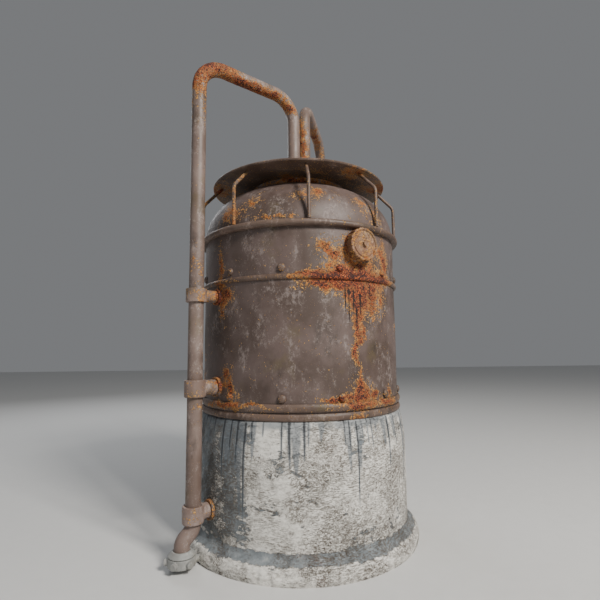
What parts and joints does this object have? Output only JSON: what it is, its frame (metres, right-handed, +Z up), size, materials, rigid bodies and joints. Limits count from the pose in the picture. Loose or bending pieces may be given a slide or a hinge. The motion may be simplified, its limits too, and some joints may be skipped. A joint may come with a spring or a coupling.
{
  "type": "stationary carbide gas generator",
  "caption": "Riveted steel carbide gas generator with a domed head, cover disc on bent stays, screw-capped filler, side pipes in clamps and a flared concrete plinth.",
  "frame": {"origin": "centre of the plinth's underside, on the floor", "axes": "+Z up along the vessel's axis; -Y is the front; the gas downpipe stands at the front left (-X, -Y) and the filler at the front right (+X, -Y)"},
  "size_m": [0.5808, 0.6084, 1.1732],
  "materials": {
    "whitewashed_concrete": "peeling lime whitewash over grey concrete, matt",
    "vessel_paint": "weathered brown-grey paint with rust, matt",
    "pipe_steel": "weathered pinkish-grey paint with rust, matt",
    "cover_steel": "weathered paint, matt",
    "band_steel": "weathered paint with rust, matt",
    "clamp_iron": "rusted cast iron, matt",
    "cap_iron": "rusted cast iron, matt",
    "outlet_iron": "limewashed cast iron, matt",
    "fastener_steel": "rusted steel, matt",
    "inner_steel": "bare sheet steel, dulled",
    "brass": "dull brass",
    "rubber_seal": "aged rubber",
    "felt": "wool felt"
  },
  "bodies": {
    "generator": {"base_ring": "band_steel", "basket_grate": "inner_steel", "basket_stand": "inner_steel", "carbide_basket": "inner_steel", "cover_disc": "cover_steel", "crown_ring": "cover_steel", "dome_head": "vessel_paint", "drip_nozzle": "brass", "drip_tube": "brass", "filler_neck": "cap_iron", "filter_case": "inner_steel", "filter_felt": "felt", "filter_plate": "inner_steel", "gas_high_collar": "clamp_iron", "gas_high_pad": "clamp_iron", "gas_low_collar": "clamp_iron", "gas_low_pad": "clamp_iron", "gas_middle_collar": "clamp_iron", "gas_middle_pad": "clamp_iron", "gas_pipe": "pipe_steel", "gas_riser": "pipe_steel", "lower_hoop": "band_steel", "lower_rivets": "fastener_steel", "outlet_coupling": "outlet_iron", "partition_hoop": "band_steel", "partition_plate": "inner_steel", "pipe_saddle": "clamp_iron", "plinth": "whitewashed_concrete", "residue_tray": "inner_steel", "riser_locknuts": "fastener_steel", "saddle_bolts": "fastener_steel", "shoulder_ring": "band_steel", "shoulder_strap": "inner_steel", "stay_rod_1": "band_steel", "stay_rod_2": "band_steel", "stay_rod_3": "band_steel", "stay_rod_4": "band_steel", "stay_rod_5": "band_steel", "stay_rod_6": "band_steel", "stay_rod_7": "band_steel", "stay_rod_8": "band_steel", "stay_rod_9": "band_steel", "upper_rivets": "fastener_steel", "vent_high_collar": "clamp_iron", "vent_high_pad": "clamp_iron", "vent_low_collar": "clamp_iron", "vent_low_pad": "clamp_iron", "vent_middle_collar": "clamp_iron", "vent_middle_pad": "clamp_iron", "vent_pipe": "pipe_steel", "vessel_floor": "inner_steel", "vessel_shell": "vessel_paint"},
    "filler_seal": {"filler_gasket": "rubber_seal"},
    "filler_lid": {"filler_cap": "cap_iron", "cap_centre_screw": "fastener_steel"},
    "outlet_seal": {"outlet_gasket": "rubber_seal"},
    "outlet_lid": {"outlet_cap": "outlet_iron"}
  },
  "joints": [
    {"name": "filler_cap_travel", "type": "slide", "parent": "generator", "child": "filler_seal", "axis": [0.5299, -0.848, 0], "range_m": [0, 0.00924]},
    {"name": "filler_cap_turn", "type": "hinge", "parent": "filler_seal", "child": "filler_lid", "pos_m": [0.14308, -0.22897, 0.683], "axis": [0.5299, -0.848, 0], "range_deg": [0, 1440]},
    {"name": "outlet_cap_travel", "type": "slide", "parent": "generator", "child": "outlet_seal", "axis": [0, 0, -1], "range_m": [0, 0.00751]},
    {"name": "outlet_cap_turn", "type": "hinge", "parent": "outlet_seal", "child": "outlet_lid", "pos_m": [-0.25246, -0.21095, 0.0205], "axis": [0, 0, -1], "range_deg": [0, 1170]}
  ],
  "couplings": [
    {"joint": "filler_cap_travel", "follows": "filler_cap_turn", "m_per_rad": 0.00036749},
    {"joint": "outlet_cap_travel", "follows": "outlet_cap_turn", "m_per_rad": 0.00036749}
  ]
}
